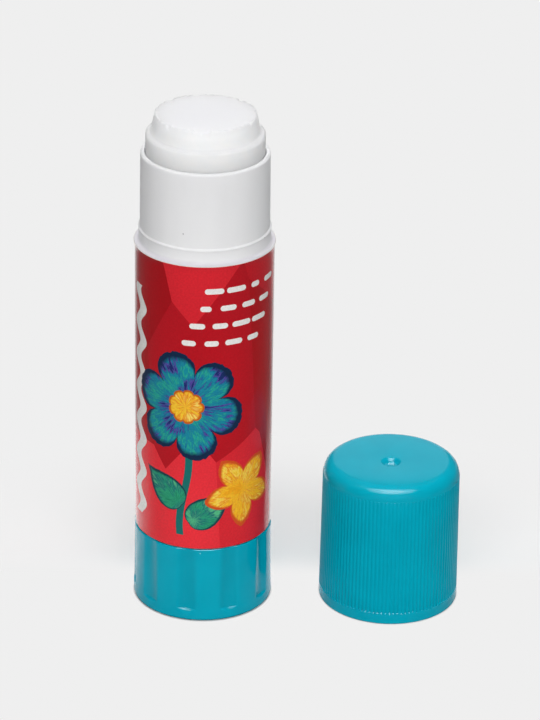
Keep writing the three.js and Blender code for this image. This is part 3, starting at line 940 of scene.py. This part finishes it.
# Biaxially drawn polypropylene film, printed and gloss varnished: sharp highlights over flat inks and
# crayon drawings. Lengths are in millimetres on the unrolled label; the drawings come twice round it.
labelPrint = {
    "radius": 10.0,
    "roughness": 0.12,
    "ior": 1.5,
    "specular": 0.2,
    "reds": ["#E62834", "#C31422", "#F5333E", "#B20C18", "#CE1A27", "#B81019"],
    "shard": 8.5,
    "shardLean": 0.62,  # radians
    "shardDraw": 0.42,
    "shardGrade": 0.86,
    "ink": "#F4F1EE",
    "flower": {
        "centre": (-2.4, 34.8), "tips": 6, "outer": 8.9, "inner": 5.3, "roundness": 2.0, "turn": 0.25,
        "strokes": ["#1B2F6B", "#5A4BA6", "#14608F", "#1B8FA6", "#1C7F97", "#2DB08E", "#168FA0"],
        "outline": "#0F2A4A", "wobble": 0.06,
    },
    "bud": {
        "centre": (-2.4, 34.8), "tips": 9, "outer": 2.8, "inner": 2.3, "roundness": 2.0, "turn": 0.0,
        "strokes": ["#F6B21C", "#FFD23C", "#F08A1E", "#FFE16A"],
        "outline": "#C9601A", "wobble": 0.05,
    },
    "star": {
        "centre": (6.3, 21.0), "tips": 5, "outer": 6.3, "inner": 3.1, "roundness": 1.15, "turn": 0.35,
        "strokes": ["#F7A81B", "#FFCB2E", "#F08C1C", "#FFE05A", "#F6BC22"],
        "outline": "#D9541E", "wobble": 0.05,
    },
    "leaf": {**leaf, "centre": (-1.2, 16.6), "outer": 7.2, "turn": -0.6},
    "leftLeaf": {**leaf, "centre": (-3.6, 19.4), "outer": 7.4, "turn": -2.45},
    "strokeSpan": (0.72, 1.28),
    "strokesAcross": 1.6,
    "strokesAlong": 0.45,
    "outlineSpan": (0.84, 0.92),
    "patch": 3.2,
    "unevenScale": 1.3,
    "stem": {
        "middle": -2.6, "foot": 14.0, "top": 31.0, "halfWidth": 0.55, "sway": 0.7, "swayRate": 0.3,
        "colour": "#17706B",
    },
    "dashes": {
        "firstRow": 53.0, "rowPitch": 2.7, "rows": 4, "rowShift": 0.37, "cells": 4, "cell": 3.3,
        "halfHeight": 0.42, "halfLength": (0.08, 0.33),
    },
    "ribbon": {"middle": -11.2, "foot": 15.0, "top": 51.5, "halfWidth": 0.95, "swing": 0.8, "wave": 5.2},
    "cutEdge": 56.82,
    "grain": 0.3,
    "grainLevels": (0.93, 1.05),
}


# How far out a place lies in a drawn shape of so many tips: under 1 inside, 1 on its edge
def drawnReach(tree, flat, shape, unevenness):
    local = addNode(tree, "ShaderNodeVectorMath", subtract, {0: flat, 1: (*shape["centre"], 0)})
    parts = addNode(tree, "ShaderNodeSeparateXYZ", {}, {0: local})
    angle = addNode(tree, "ShaderNodeMath", {"operation": "ARCTAN2"}, {
        0: parts.outputs["Y"], 1: parts.outputs["X"]})
    turned = addNode(tree, "ShaderNodeMath", {"operation": "ADD"}, {0: angle, 1: shape["turn"]})
    halfPitch = math.pi / shape["tips"]
    fold = addNode(tree, "ShaderNodeMath", {"operation": "PINGPONG"}, {0: turned, 1: halfPitch})
    share = addNode(tree, "ShaderNodeMath", divide, {0: fold, 1: halfPitch})
    raised = addNode(tree, "ShaderNodeMath", {"operation": "POWER"}, {0: share, 1: shape["roundness"]})
    rest = addNode(tree, "ShaderNodeMath", {"operation": "SUBTRACT", "use_clamp": True}, {
        0: 1.0, 1: raised})
    tip = addNode(tree, "ShaderNodeMath", {"operation": "POWER"}, {0: rest, 1: 1 / shape["roundness"]})
    edge = addNode(tree, "ShaderNodeMapRange", {}, {
        "Value": tip, "To Min": shape["inner"], "To Max": shape["outer"]})
    far = addNode(tree, "ShaderNodeVectorMath", {"operation": "LENGTH"}, {0: local})
    reach = addNode(tree, "ShaderNodeMath", divide, {0: far.outputs["Value"], 1: edge})
    wobble = addNode(tree, "ShaderNodeMath", {"operation": "MULTIPLY_ADD"}, {
        0: unevenness, 1: shape["wobble"], 2: reach})
    # Crayon strokes run outwards from the middle
    outwards = addNode(tree, "ShaderNodeCombineXYZ", {}, {"X": angle, "Y": far.outputs["Value"]})
    strokePlace = addNode(tree, "ShaderNodeVectorMath", multiply, {
        0: outwards, 1: (shape["outer"] * labelPrint["strokesAcross"], labelPrint["strokesAlong"], 1)})
    return wobble, strokePlace


# Draws a shape over what is there: dark crayon outline, then strokes of several inks
def drawShape(tree, below, flat, shape, unevenness):
    reach, strokePlace = drawnReach(tree, flat, shape, unevenness)
    strokes = addNode(tree, "ShaderNodeTexNoise", flatNoise, {
        "Vector": strokePlace, "Scale": 1.0, "Detail": 3.0, "Roughness": 0.65})
    patches = addNode(tree, "ShaderNodeTexNoise", flatNoise, {
        "Vector": flat, "Scale": 1 / labelPrint["patch"], "Detail": 1.0})
    mixed = addNode(tree, "ShaderNodeMath", {"operation": "ADD"}, {0: strokes, 1: patches})
    spread = addNode(tree, "ShaderNodeMapRange", {}, {
        "Value": mixed, **between(*labelPrint["strokeSpan"])})
    inks = shape["strokes"]
    fill = setRamp(addNode(tree, "ShaderNodeValToRGB", {}, {0: spread}), [
        (i / (len(inks) - 1), linear(ink)) for i, ink in enumerate(inks)])
    outlined = addNode(tree, "ShaderNodeMapRange", {}, {
        "Value": reach, **between(*labelPrint["outlineSpan"])})
    edged = addNode(tree, "ShaderNodeMix", colourMix, {
        "Factor": outlined, 6: fill, 7: linear(shape["outline"])})
    inside = addNode(tree, "ShaderNodeMath", lessThan, {0: reach, 1: 1.0})
    return addNode(tree, "ShaderNodeMix", colourMix, {
        "Factor": inside, 6: below, 7: edged.outputs[2]}).outputs[2]


# Rows of short rounded dashes of uneven length, as a mask
def dashMask(tree, u, v):
    rows = labelPrint["dashes"]
    drop = addNode(tree, "ShaderNodeMath", subtract, {0: rows["firstRow"], 1: v})
    counted = addNode(tree, "ShaderNodeMath", divide, {0: drop, 1: rows["rowPitch"]})
    row = addNode(tree, "ShaderNodeMath", {"operation": "ROUND"}, {0: counted})
    offRow = addNode(tree, "ShaderNodeMath", subtract, {0: counted, 1: row})
    along = addNode(tree, "ShaderNodeMath", divide, {0: u, 1: rows["cell"]})
    shifted = addNode(tree, "ShaderNodeMath", {"operation": "MULTIPLY_ADD"}, {
        0: row, 1: rows["rowShift"], 2: along})
    cell = addNode(tree, "ShaderNodeMath", {"operation": "FLOOR"}, {0: shifted})
    within = addNode(tree, "ShaderNodeMath", {"operation": "FRACT"}, {0: shifted})
    cellPlace = addNode(tree, "ShaderNodeCombineXYZ", {}, {"X": cell, "Y": row})
    draw = addNode(tree, "ShaderNodeTexWhiteNoise", flatNoise, {"Vector": cellPlace})
    shortest, longest = rows["halfLength"]
    halfLength = addNode(tree, "ShaderNodeMapRange", {}, {
        "Value": draw.outputs["Value"], "To Min": shortest, "To Max": longest})
    fromMiddle = addNode(tree, "ShaderNodeMath", subtract, {0: within, 1: 0.5})
    size = addNode(tree, "ShaderNodeMath", {"operation": "ABSOLUTE"}, {0: fromMiddle})
    over = addNode(tree, "ShaderNodeMath", subtract, {0: size, 1: halfLength})
    past = addNode(tree, "ShaderNodeMath", maximum, {0: over, 1: 0.0})
    offset = addNode(tree, "ShaderNodeCombineXYZ", {}, {"X": past, "Y": offRow})
    scaled = addNode(tree, "ShaderNodeVectorMath", multiply, {
        0: offset, 1: (rows["cell"], rows["rowPitch"], 1)})
    away = addNode(tree, "ShaderNodeVectorMath", {"operation": "LENGTH"}, {0: scaled})
    dash = addNode(tree, "ShaderNodeMath", lessThan, {0: away.outputs["Value"], 1: rows["halfHeight"]})
    # Only rows and cells numbered from 0 to under their count have one, with a tenth of slack
    for number, count in ((row, rows["rows"]), (cell, rows["cells"])):
        inside = addNode(tree, "ShaderNodeMath", compare, {
            0: number, 1: (count - 1) / 2, 2: (count - 1) / 2 + 0.1})
        dash = addNode(tree, "ShaderNodeMath", multiply, {0: dash, 1: inside})
    return dash


# A band that runs up the label between two heights, its middle swung aside by a sine wave
def bandMask(tree, u, v, band, waveRate, swing):
    turn = addNode(tree, "ShaderNodeMath", multiply, {0: v, 1: waveRate})
    wave = addNode(tree, "ShaderNodeMath", {"operation": "SINE"}, {0: turn})
    middle = addNode(tree, "ShaderNodeMath", {"operation": "MULTIPLY_ADD"}, {
        0: wave, 1: swing, 2: band["middle"]})
    across = addNode(tree, "ShaderNodeMath", compare, {0: u, 1: middle, 2: band["halfWidth"]})
    upright = addNode(tree, "ShaderNodeMath", compare, {
        0: v, 1: (band["foot"] + band["top"]) / 2, 2: (band["top"] - band["foot"]) / 2})
    return addNode(tree, "ShaderNodeMath", multiply, {0: across, 1: upright})


def makeLabelPrint():
    values = labelPrint
    material, tree, place = newMaterial("filmPrintedVarnished")
    parts = addNode(tree, "ShaderNodeSeparateXYZ", {}, {0: place})
    # Unrolled label: round the barrel from the front, and up from the table, both in millimetres
    back = addNode(tree, "ShaderNodeMath", multiply, {0: parts.outputs["Y"], 1: -1.0})
    turn = addNode(tree, "ShaderNodeMath", {"operation": "ARCTAN2"}, {0: parts.outputs["X"], 1: back})
    unrolled = addNode(tree, "ShaderNodeMath", multiply, {0: turn, 1: values["radius"]})
    v = addNode(tree, "ShaderNodeMath", multiply, {0: parts.outputs["Z"], 1: 1 / mm})
    half = math.pi * values["radius"] / 2
    u = addNode(tree, "ShaderNodeMath", {"operation": "WRAP"}, {0: unrolled, 1: half, 2: -half})
    wholeFlat = addNode(tree, "ShaderNodeCombineXYZ", {}, {"X": unrolled, "Y": v})
    flat = addNode(tree, "ShaderNodeCombineXYZ", {}, {"X": u, "Y": v})

    # Ground of folded red paper: long leaning shards in flat reds, each with a faint grade
    leaning = addNode(tree, "ShaderNodeMapping", {"vector_type": "POINT"}, {
        "Vector": wholeFlat, "Rotation": (0, 0, values["shardLean"]),
        "Scale": (1.0, values["shardDraw"], 1.0)})
    shards = addNode(tree, "ShaderNodeTexVoronoi", {"voronoi_dimensions": "2D"}, {
        "Vector": leaning, "Scale": 1 / values["shard"], "Randomness": 1.0})
    pick = addNode(tree, "ShaderNodeSeparateColor", {}, {0: shards.outputs["Color"]})
    reds = values["reds"]
    paper = setRamp(addNode(tree, "ShaderNodeValToRGB", {}, {0: pick}), [
        (i / len(reds), linear(red)) for i, red in enumerate(reds)], "CONSTANT")
    grade = addNode(tree, "ShaderNodeMapRange", {}, {
        "Value": shards.outputs["Distance"], "To Min": 1.0, "To Max": values["shardGrade"]})
    ground = addNode(tree, "ShaderNodeMix", darkenMix, {"Factor": 1.0, 6: paper, 7: grade}).outputs[2]

    # White: rows of dashes, a wavy ribbon up the other side, and the film's core at its cut edge
    ribbon = values["ribbon"]
    drawn = addNode(tree, "ShaderNodeMath", maximum, {
        0: bandMask(tree, u, v, ribbon, fullTurn / ribbon["wave"], ribbon["swing"]),
        1: dashMask(tree, u, v)})
    cut = addNode(tree, "ShaderNodeMath", greaterThan, {0: v, 1: values["cutEdge"]})
    white = addNode(tree, "ShaderNodeMath", maximum, {0: drawn, 1: cut})
    colour = addNode(tree, "ShaderNodeMix", colourMix, {
        "Factor": white, 6: ground, 7: linear(values["ink"])}).outputs[2]

    # Crayon drawings: a flower on its stem, leaves and a star
    unevenness = addNode(tree, "ShaderNodeTexNoise", flatNoise, {
        "Vector": flat, "Scale": values["unevenScale"], "Detail": 2.0})
    stem = values["stem"]
    colour = addNode(tree, "ShaderNodeMix", colourMix, {
        "Factor": bandMask(tree, u, v, stem, stem["swayRate"], stem["sway"]),
        6: colour, 7: linear(stem["colour"])}).outputs[2]
    for name in ("leaf", "leftLeaf", "star", "flower", "bud"):
        colour = drawShape(tree, colour, flat, values[name], unevenness)

    # Halftone of the print, drawn coarser than a real one so that it shows
    grain = addNode(tree, "ShaderNodeTexNoise", flatNoise, {
        "Vector": flat, "Scale": 1 / values["grain"], "Detail": 2.0})
    darker, lighter = values["grainLevels"]
    level = addNode(tree, "ShaderNodeMapRange", {}, {
        "Value": grain, **between(*noiseSpan), "To Min": darker, "To Max": lighter})
    printed = addNode(tree, "ShaderNodeMix", darkenMix, {"Factor": 1.0, 6: colour, 7: level})
    finishMaterial(tree, values, {"Base Color": printed.outputs[2]})
    return material


makeLabel(makeLabelPrint())
